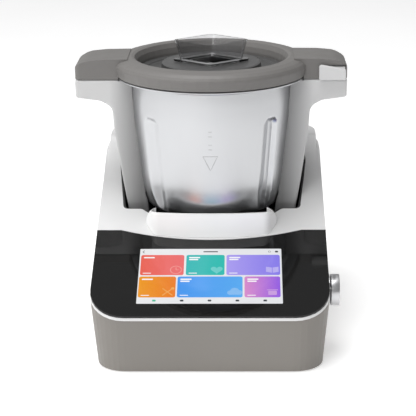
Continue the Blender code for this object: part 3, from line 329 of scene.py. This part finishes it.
def dress_nodes(frame):
    """Give every carried-over node a material made for it."""
    knob_low, knob_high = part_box("control_knob")
    knob_centre = (Vector(knob_low) + Vector(knob_high)) / 2
    taupe = moulded("taupe_moulding", linear(128, 124, 119), 0.50, 2600.0, 0.00004)
    lid_grey = moulded("lid_grey_moulding", linear(113, 111, 109), 0.48, 2600.0, 0.00004)
    white = moulded("white_moulding", linear(217, 217, 217), 0.40, 3200.0, 0.00001)
    collar = moulded("collar_moulding", linear(252, 252, 252), 0.42, 3200.0, 0.00001)
    pale = moulded("pale_moulding", linear(204, 204, 204), 0.42, 3200.0, 0.00001)
    grip = grip_moulding(linear(198, 198, 198), 0.42)
    dark = moulded("dark_moulding", linear(52, 52, 52), 0.50, 1800.0, 0.00006)
    dish = moulded("lid_dish_moulding", linear(76, 76, 76), 0.38, 2200.0, 0.00004, 0.1)
    steel = brushed("drawn_steel", linear(192, 193, 195), 0.30, (16, 16, 4200), 0.08)
    machined = brushed("machined_steel", linear(205, 206, 208), 0.30, (900, 900, 60))
    sheet = brushed("lamination_steel", linear(150, 150, 152), 0.42, (60, 60, 1800))
    alloy = brushed("heater_alloy", linear(190, 168, 150), 0.42, (400, 400, 400))
    knob = face_turned("turned_knob_metal", linear(202, 202, 204), 0.38, knob_centre)
    silicone = moulded("silicone_seal", linear(120, 120, 120), 0.65, 900.0, 0.00005)
    rubber = moulded("foot_rubber", linear(34, 34, 34), 0.8, 700.0, 0.0001)
    looks = {
        "lower_casing": taupe, "lid_ring": lid_grey, "upper_housing": white, "front_collar": collar,
        "handle_left": grip, "handle_right": grip, "lid_latch": pale, "lid_plate": dish,
        "glass_panel": panel_glass(), "touch_display": board_look(), "display_board": board_look(),
        "power_board": board_look(), "steel_bowl": steel, "base_plate": sheet, "motor_stator": sheet,
        "rotor_core": sheet, "heating_element": alloy, "control_knob": knob, "knob_bezel": knob,
        "lid_seal": silicone, "drive_seal": silicone, "measuring_cup": clear_cup(),
    }
    machined_words = ("blade_bearing", "blade_shaft", "blade_lower", "blade_upper", "motor_shaft", "bearing",
                      "drive_coupling", "knob_stem", "latch_pin", "base_screw")
    for name, thing in frame["nodes"].items():
        look = looks.get(name)
        if look is None and name.startswith("foot_"):
            look = rubber
        if look is None and any(word in name for word in machined_words):
            look = machined
        look = look or dark
        thing.data.materials.clear()
        thing.data.materials.append(look.material)
    axis = make_bowl(steel)
    make_bowl_marks(axis, sheet)
    make_handle_seals(axis, moulded("handle_seal_moulding", linear(150, 150, 150), 0.45, 2600.0, 0.00003))
    make_knob(knob)


# ---------------------------------------------------------------- finer pieces in place of plain nodes


def add_mesh(name, shape, look, body):
    """Finish a bmesh as a piece that rides on a body."""
    bmesh.ops.recalc_face_normals(shape, faces=shape.faces)
    mesh = bpy.data.meshes.new(name)
    shape.to_mesh(mesh)
    shape.free()
    mesh.materials.append(look.material)
    mesh.shade_smooth()
    mesh.set_sharp_from_angle(angle=SMOOTH_ANGLE)
    piece = bpy.data.objects.new(name, mesh)
    bpy.context.scene.collection.objects.link(piece)
    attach(piece, body)
    return piece


def flute_depth(along, z):
    """How far a flute is pressed in, at a distance along the wall from its centre line."""
    rise = max(0.0, (z - FLUTE_SHOULDER) / (FLUTE_APEX - FLUTE_SHOULDER))
    if rise >= 1.0:
        return 0.0
    place = along / (FLUTE_HALF * math.sqrt(1 - rise * rise))
    if abs(place) >= 1.0:
        return 0.0
    gentle = (place + 1) / FLUTE_GENTLE
    steep = (1 - place) / FLUTE_STEEP
    top = (FLUTE_APEX - z) / FLUTE_FACET
    share = min(1.0, gentle, steep, top)
    rounded = share * share * (3 - 2 * share)
    return FLUTE_DEPTH * (share + rounded) / 2


def smooth_section(points, spacing):
    """Points of a Catmull-Rom curve through a section, about spacing apart."""
    padded = [points[0]] + points + [points[-1]]
    result = []
    for before, start, end, after in zip(padded, padded[1:], padded[2:], padded[3:]):
        steps = max(1, round((Vector(end) - Vector(start)).length / spacing))
        for i in range(steps):
            t = i / steps
            point = []
            for a, b, c, d in zip(before, start, end, after):
                bend = (2 * a - 5 * b + 4 * c - d) * t * t
                twist = (3 * b - a - 3 * c + d) * t**3
                point.append(0.5 * (2 * b + (c - a) * t + bend + twist))
            result.append(tuple(point))
    return result + [points[-1]]


def make_bowl(look):
    """The pressed steel bowl, with four flutes, one side of each gentle and the other steep."""
    low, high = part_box("steel_bowl")
    axis = Vector(((low.x + high.x) / 2, (low.y + high.y) / 2, 0))
    rim = (high.x - low.x) / 2
    floor = low.z
    outer = [(0.0700, floor), (0.0742, floor + 0.0014), (0.0772, floor + 0.0048), (0.0791, floor + 0.0100),
             (0.0808, floor + 0.0155), (0.0827, floor + 0.0235), (0.0845, floor + 0.0335),
             (0.0858, floor + 0.0440), (0.0870, floor + 0.0565), (0.0918, floor + 0.1045),
             (0.0930, floor + 0.1285),
             (0.0930, high.z - 0.0061)]
    outside = smooth_section(outer, 0.0012)
    inside = [(radius - BOWL_WALL, max(z, floor + BOWL_WALL)) for radius, z in outside]
    lip = [(rim - 0.0110, high.z - 0.0022), (rim - 0.0012, high.z - 0.0022), (rim, high.z - 0.0020),
           (rim, high.z - 0.0008), (rim - 0.0010, high.z), (rim - 0.0130, high.z),
           (rim - 0.0150, high.z - 0.0005), (rim - 0.0158, high.z - 0.0020)]
    path = [(BOWL_HUB, floor)] + outside + lip + inside[::-1] + [(BOWL_HUB, floor + BOWL_WALL)]

    angles = []
    for i, centre in enumerate(FLUTE_CENTRES):
        following = FLUTE_CENTRES[(i + 1) % len(FLUTE_CENTRES)] + (360 if i == len(FLUTE_CENTRES) - 1 else 0)
        fine_steps = round(2 * FLUTE_SPAN / FLUTE_STEP)
        angles += [centre - FLUTE_SPAN + FLUTE_STEP * step for step in range(fine_steps + 1)]
        gap = following - FLUTE_SPAN - (centre + FLUTE_SPAN)
        angles += [centre + FLUTE_SPAN + gap * step / PLAIN_STEPS for step in range(1, PLAIN_STEPS)]

    shape = bmesh.new()
    columns = []
    for angle in angles:
        nearest = min(FLUTE_CENTRES, key=lambda centre: abs((angle - centre + 180) % 360 - 180))
        offset = math.radians((angle - nearest + 180) % 360 - 180)
        turn = math.radians(angle)
        column = []
        for radius, z in path:
            depth = flute_depth(offset * radius, z) if radius < 0.0935 else 0.0
            spare = 0.0
            if z < KNUCKLE_TOP:
                spare = radius - wall_radius(KNUCKLE_TOP) + FLUTE_SLOPE * (KNUCKLE_TOP - z)
            pressed = radius - max(0.0, depth + min(0.0, spare))
            place = (axis.x + pressed * math.sin(turn), axis.y - pressed * math.cos(turn), z)
            column.append(shape.verts.new(place))
        columns.append(column)
    for column, neighbour in zip(columns, columns[1:] + columns[:1]):
        for i in range(len(path)):
            j = (i + 1) % len(path)
            shape.faces.new((column[i], neighbour[i], neighbour[j], column[j]))
    bowl = add_mesh("pressed_bowl", shape, look, "bowl")
    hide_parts("steel_bowl")
    return axis


def wall_radius(z):
    """The bowl's outer radius at a height, between the corners of its section."""
    corners = [(0.0808, 0.1470), (0.0827, 0.1550), (0.0845, 0.1650), (0.0858, 0.1755), (0.0870, 0.1880),
               (0.0918, 0.2360), (0.0930, 0.2600), (0.0930, 0.2800)]
    for (radius, start), (next_radius, end) in zip(corners, corners[1:]):
        if z <= end:
            return radius + (next_radius - radius) * (z - start) / (end - start)
    return corners[-1][0]


def make_bowl_marks(axis, look):
    """Faint etched fill marks on the front of the bowl: two pairs of ticks over an arrowhead."""
    def place(angle, z):
        radius = wall_radius(z) + 0.00005
        turn = math.radians(angle)
        return (axis.x + radius * math.sin(turn), axis.y - radius * math.cos(turn), z)

    shoulder = MARK_TOP - ARROW_DROP
    arrow = [(-ARROW_HALF_ANGLE, shoulder), (ARROW_HALF_ANGLE, shoulder), (0.0, MARK_TOP - ARROW_TIP_DROP)]
    strokes = [arrow + arrow[:1]]
    for drop in MARK_DROPS:
        strokes.append([(-TICK_HALF_ANGLE, MARK_TOP - drop), (TICK_HALF_ANGLE, MARK_TOP - drop)])
    data = bpy.data.curves.new("bowl_marks", "CURVE")
    data.dimensions = "3D"
    data.bevel_depth = MARK_RADIUS
    data.bevel_resolution = 1
    for stroke in strokes:
        points = []
        for start, end in zip(stroke, stroke[1:]):
            run = end[0] - start[0]
            rise = end[1] - start[1]
            points += [(start[0] + run * i / 6, start[1] + rise * i / 6) for i in range(6)]
        points.append(stroke[-1])
        spline = data.splines.new("POLY")
        spline.points.add(len(points) - 1)
        for point, (angle, z) in zip(spline.points, points):
            point.co = (*place(angle, z), 1.0)
    data.materials.append(look.material)
    marks = bpy.data.objects.new("bowl_marks", data)
    bpy.context.scene.collection.objects.link(marks)
    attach(marks, "bowl")


def make_handle_seals(axis, look):
    """Thin beads that close the joint between each handle's edges and the bowl."""
    for node, side in (("handle_left", -1), ("handle_right", 1)):
        low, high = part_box(node)
        for edge, y, inward in (("front", low.y, 1), ("rear", high.y, -1)):
            data = bpy.data.curves.new(f"{node}_{edge}_seal", "CURVE")
            data.dimensions = "3D"
            data.bevel_depth = SEAL_RADIUS
            data.bevel_resolution = 2
            points = []
            for step in range(SEAL_STEPS + 1):
                z = SEAL_LOW + (SEAL_HIGH - SEAL_LOW) * step / SEAL_STEPS
                radius = wall_radius(z) + SEAL_PROUD
                seat = y + inward * SEAL_INSET
                points.append((side * math.sqrt(radius**2 - (seat - axis.y) ** 2), seat, z))
            spline = data.splines.new("POLY")
            spline.points.add(len(points) - 1)
            for point, place in zip(spline.points, points):
                point.co = (*place, 1.0)
            data.materials.append(look.material)
            bead = bpy.data.objects.new(f"{node}_{edge}_seal", data)
            bpy.context.scene.collection.objects.link(bead)
            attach(bead, "bowl")


def make_knob(look):
    """The turned metal knob: a straight side, eased edges and a shallow dish in its face."""
    low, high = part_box("control_knob")
    centre = (low + high) / 2
    radius = (high.z - low.z) / 2
    profile = [(low.x, 0.0060), (low.x, radius - 0.0006), (low.x + 0.0006, radius), (high.x - 0.0008, radius),
               (high.x - 0.0002, radius - 0.0003), (high.x, radius - 0.0009), (high.x, radius - 0.0024),
               (high.x - 0.0006, radius - 0.0032), (high.x - 0.0009, 0.0)]
    shape = bmesh.new()
    rings = []
    for x, reach in profile:
        if reach == 0.0:
            rings.append([shape.verts.new((x, centre.y, centre.z))] * KNOB_STEPS)
            continue
        turned = []
        for i in range(KNOB_STEPS):
            angle = math.tau * i / KNOB_STEPS
            y = centre.y + reach * math.cos(angle)
            turned.append(shape.verts.new((x, y, centre.z + reach * math.sin(angle))))
        rings.append(turned)
    back = shape.verts.new((low.x, centre.y, centre.z))
    for i in range(KNOB_STEPS):
        j = (i + 1) % KNOB_STEPS
        shape.faces.new((back, rings[0][i], rings[0][j]))
        for near, far in zip(rings, rings[1:]):
            if far[i] is far[j]:
                shape.faces.new((near[i], far[i], near[j]))
            else:
                shape.faces.new((near[i], far[i], far[j], near[j]))
    knob = add_mesh("turned_knob", shape, look, "knob")
    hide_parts("control_knob")


# ---------------------------------------------------------------- the picture on the screen


def rectangle(left, low, right, high, radius=0.0):
    """A rectangle with rounded corners, anticlockwise, in millimetres on the screen."""
    if radius == 0.0:
        return [(left, low), (right, low), (right, high), (left, high)]
    outline = []
    corners = ((right - radius, low + radius, -90), (right - radius, high - radius, 0),
               (left + radius, high - radius, 90), (left + radius, low + radius, 180))
    for x, y, start in corners:
        for i in range(CORNER_STEPS + 1):
            angle = math.radians(start + 90 * i / CORNER_STEPS)
            outline.append((x + radius * math.cos(angle), y + radius * math.sin(angle)))
    return outline


def disc(x, y, radius):
    """A round outline, anticlockwise, in millimetres on the screen."""
    angles = [math.tau * i / DISC_STEPS for i in range(DISC_STEPS)]
    return [(x + radius * math.cos(angle), y + radius * math.sin(angle)) for angle in angles]


def bar(start, end, width):
    """A straight stroke between two points, as a rectangle."""
    start = Vector(start)
    end = Vector(end)
    side = (end - start).normalized().orthogonal() * width / 2
    return [tuple(start - side), tuple(end - side), tuple(end + side), tuple(start + side)]


def ring(x, y, radius, width):
    """A ring as one open outline that closes on itself."""
    outer = disc(x, y, radius)
    inner = disc(x, y, radius - width)
    return outer + [outer[0], inner[0]] + inner[:0:-1]


def screen_matrix():
    """From millimetres on the screen, from its lower left corner, to the part's frame."""
    low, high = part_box("touch_display")
    normal = Vector((0, -math.sin(PANEL_TILT), math.cos(PANEL_TILT)))
    middle = (Vector(low) + Vector(high)) / 2
    above = DISPLAY_THICKNESS / 2 + GLASS_GAP + GLASS_THICKNESS
    slope = Vector((0, math.cos(PANEL_TILT), math.sin(PANEL_TILT)))
    corner = middle + normal * above - Vector((SCREEN_WIDTH / 2, 0, 0)) - slope * SCREEN_HEIGHT / 2
    turn = Matrix((Vector((1, 0, 0)), slope, normal)).transposed().to_4x4()
    return Matrix.Translation(corner) @ turn @ Matrix.Scale(0.001, 4)


def patch(name, outlines, level, look):
    """Thin lit shapes on the screen, at a layer above the glass."""
    shape = bmesh.new()
    lift = SCREEN_LIFT * 1000 * level
    for outline in outlines:
        shape.faces.new([shape.verts.new((x, y, lift)) for x, y in outline])
    base = list(shape.faces)
    grown = bmesh.ops.extrude_face_region(shape, geom=base)
    risen = [item for item in grown["geom"] if isinstance(item, bmesh.types.BMVert)]
    bmesh.ops.translate(shape, verts=risen, vec=(0, 0, SCREEN_LIFT * 600))
    bmesh.ops.recalc_face_normals(shape, faces=shape.faces)
    mesh = bpy.data.meshes.new(name)
    shape.to_mesh(mesh)
    shape.free()
    mesh.transform(screen_matrix())
    mesh.materials.append(look.material)
    piece = bpy.data.objects.new(name, mesh)
    bpy.context.scene.collection.objects.link(piece)
    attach(piece, "base")


def heart(x, y, size):
    """A heart's outline, from its usual formula in sines and cosines, anticlockwise."""
    outline = []
    for i in range(28):
        t = math.tau * i / 28
        across = 16 * math.sin(t) ** 3
        up = 13 * math.cos(t) - 5 * math.cos(2 * t) - 2 * math.cos(3 * t) - math.cos(4 * t)
        outline.append((x + across * size / 32, y + up * size / 32))
    return outline[::-1]


def make_sign(name, x, y, look):
    """The plain, pale sign in a tile's lower right corner."""
    rising = bar((x - 5.5, y - 5.5), (x + 5.5, y + 5.5), 1.1)
    falling = bar((x + 5.5, y - 5.5), (x - 5.5, y + 5.5), 1.1)
    layers = {
        "timer": [[ring(x, y, 6.5, 1.0), bar((x, y), (x, y + 4.0), 0.9), bar((x, y), (x + 3.0, y), 0.9)]],
        "health": [[heart(x, y, 13.0)]],
        "recipes": [[[(x + 0.4, y - 4.8), (x + 6.8, y - 3.4), (x + 6.8, y + 4.8), (x + 0.4, y + 3.4)],
                     [(x - 0.4, y - 4.8), (x - 0.4, y + 3.4), (x - 6.8, y + 4.8), (x - 6.8, y - 3.4)]]],
        "cutlery": [[rising], [falling, disc(x + 5.5, y + 5.5, 1.8)]],
        "cloud": [[disc(x - 4.6, y - 1.2, 3.4)], [disc(x, y + 1.4, 4.8)], [disc(x + 4.8, y - 1.0, 3.5)],
                  [rectangle(x - 7.4, y - 4.5, x + 7.6, y - 0.6, 1.9)]],
        "pot": [[rectangle(x - 4.6, y - 4.8, x + 4.6, y + 1.6, 1.2),
                 rectangle(x - 6.0, y + 2.4, x + 6.0, y + 3.6, 0.5)]],
    }
    for i, outlines in enumerate(layers[name]):
        patch(f"screen_sign_{name}_{i}", outlines, 2 + i * 0.7, look)


def make_screen():
    """The home page: a bar on top, six coloured tiles with plain signs, and a row of signs below."""
    wide = SCREEN_WIDTH * 1000
    tall = SCREEN_HEIGHT * 1000
    paper = lit("screen_paper", (246, 247, 249), (240, 242, 246), 0.86)
    ink = lit("screen_ink", (62, 66, 74), (62, 66, 74), 0.8)
    white = lit("screen_white", (250, 250, 252), (250, 250, 252), 0.95)
    green = lit("screen_green", (70, 190, 150), (70, 190, 150), 0.9)
    patch("screen_background", [rectangle(0, 0, wide, tall, 1.0)], 0, paper)
    top = tall * 0.943
    back = [bar((4.8, top - 1.9), (2.8, top + 0.2), 0.7), bar((2.8, top), (4.8, top + 2.1), 0.7)]
    patch("screen_back_sign", back, 1, ink)
    patch("screen_title", [rectangle(wide / 2 - 8, top - 0.6, wide / 2 + 8, top + 1.0, 0.7)], 1, ink)
    box = rectangle(wide - 6.8, top - 1.1, wide - 3.6, top + 1.5, 0.6)
    patch("screen_top_signs", [ring(wide - 13, top + 0.2, 1.4, 0.4), box], 1, ink)

    rows = ((0.115, 0.490), (0.515, 0.890))
    tiles = (
        ("timer", 0, 0.010, 0.315, (238, 98, 82), (238, 104, 106)),
        ("health", 0, 0.330, 0.600, (32, 184, 182), (40, 190, 178)),
        ("recipes", 0, 0.613, 0.988, (172, 158, 246), (134, 122, 238)),
        ("cutlery", 1, 0.007, 0.264, (242, 154, 10), (240, 124, 22)),
        ("cloud", 1, 0.275, 0.726, (64, 150, 244), (88, 172, 246)),
        ("pot", 1, 0.739, 0.986, (220, 140, 206), (146, 92, 230)),
    )
    for name, row, left, right, first, last in tiles:
        upper, lower = rows[row]
        low = tall * (1 - lower)
        high = tall * (1 - upper)
        edges = (wide * left, low, wide * right, high)
        patch(f"screen_tile_{name}", [rectangle(*edges, 2.4)], 1, lit(f"screen_{name}", first, last))
        lines = 1 if name in ("timer", "cutlery") else 2
        labels = [rectangle(edges[0] + 3, low + 2.6, edges[0] + 12, low + 3.7, 0.5)]
        for line in range(lines):
            base = high - 5.4 - 3.2 * line
            labels.append(rectangle(edges[0] + 3, base, edges[0] + 15 - 2 * line, base + 2.0, 0.8))
        patch(f"screen_labels_{name}", labels, 3, white)
        ghost = [(a + b + 250) / 3 for a, b in zip(first, last)]
        look = lit(f"screen_sign_{name}", ghost, ghost)
        make_sign(name, edges[2] - 8.5, low + 8.5, look)
    low = tall * 0.055
    for i in range(5):
        x = wide * (0.12 + 0.19 * i)
        look = green if i == 0 else ink
        patch(f"screen_menu_{i}", [rectangle(x - 1.9, low - 1.5, x + 1.9, low + 1.3, 0.9)], 1, look)


# ---------------------------------------------------------------- stage, light and camera


def make_stage():
    """A pale floor that glows a little, and a sky that is brighter on the machine's left."""
    mesh = bpy.data.meshes.new("floor")
    mesh.from_pydata([(-8, -8, 0), (8, -8, 0), (8, 12, 0), (-8, 12, 0)], [], [(0, 1, 2, 3)])
    floor = bpy.data.objects.new("floor", mesh)
    bpy.context.scene.collection.objects.link(floor)
    look = Look("pale_floor").set(Roughness=0.55, Specular_IOR_Level=0.3)
    tone = look.ramp(look.noise(3.0, 2.0), (0.3, (0.90, 0.90, 0.90, 1)), (0.7, (0.93, 0.93, 0.93, 1)))
    look.link(tone, look.shader.inputs["Base Color"])
    look.set(Emission_Strength=FLOOR_GLOW)
    look.shader.inputs["Emission Color"].default_value = (1, 1, 1, 1)
    mesh.materials.append(look.material)

    world = bpy.data.worlds.new("soft_studio")
    bpy.context.scene.world = world
    world.use_nodes = True
    nodes = world.node_tree.nodes
    links = world.node_tree.links
    split = nodes.new("ShaderNodeSeparateXYZ")
    ramp = nodes.new("ShaderNodeValToRGB")
    span = nodes.new("ShaderNodeMapRange")
    span.inputs["From Min"].default_value = -1.0
    links.new(nodes.new("ShaderNodeTexCoord").outputs["Generated"], split.inputs[0])
    links.new(split.outputs["X"], span.inputs["Value"])
    links.new(span.outputs["Result"], ramp.inputs["Fac"])
    ramp.color_ramp.elements[0].color = SKY_LEFT
    ramp.color_ramp.elements[1].color = SKY_RIGHT
    links.new(ramp.outputs["Color"], nodes["Background"].inputs["Color"])
    nodes["Background"].inputs["Strength"].default_value = SKY_STRENGTH


def soft_light(name, place, target, side, power):
    """A square soft light that faces its target."""
    data = bpy.data.lights.new(name, "AREA")
    data.shape = "SQUARE"
    data.size = side
    data.energy = power
    light = bpy.data.objects.new(name, data)
    light.location = place
    light.rotation_euler = (Vector(target) - Vector(place)).to_track_quat("-Z", "Y").to_euler()
    bpy.context.scene.collection.objects.link(light)


def make_camera():
    """A fixed viewpoint from the front and a little above, with a slight roll."""
    data = bpy.data.cameras.new("camera")
    data.lens = CAMERA_LENS
    data.sensor_width = 36.0
    camera = bpy.data.objects.new("camera", data)
    forward = (CAMERA_TARGET - CAMERA_PLACE).normalized()
    right = forward.cross(Vector((0, 0, 1))).normalized()
    up = right.cross(forward)
    turned_right = right * math.cos(CAMERA_ROLL) + up * math.sin(CAMERA_ROLL)
    turned_up = up * math.cos(CAMERA_ROLL) - right * math.sin(CAMERA_ROLL)
    turn = Matrix((turned_right, turned_up, -forward)).transposed().to_4x4()
    camera.matrix_world = Matrix.Translation(CAMERA_PLACE) @ turn
    bpy.context.scene.collection.objects.link(camera)
    bpy.context.scene.camera = camera


def main():
    for thing in list(bpy.data.objects):
        bpy.data.objects.remove(thing)
    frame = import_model()
    bpy.context.scene.view_settings.view_transform = "Standard"
    for thing in frame["nodes"].values():
        thing.data.shade_smooth()
        thing.data.set_sharp_from_angle(angle=SMOOTH_ANGLE)
    make_camera()
    make_stage()
    for light in LIGHTS:
        soft_light(*light)
    dress_nodes(frame)
    make_screen()


main()
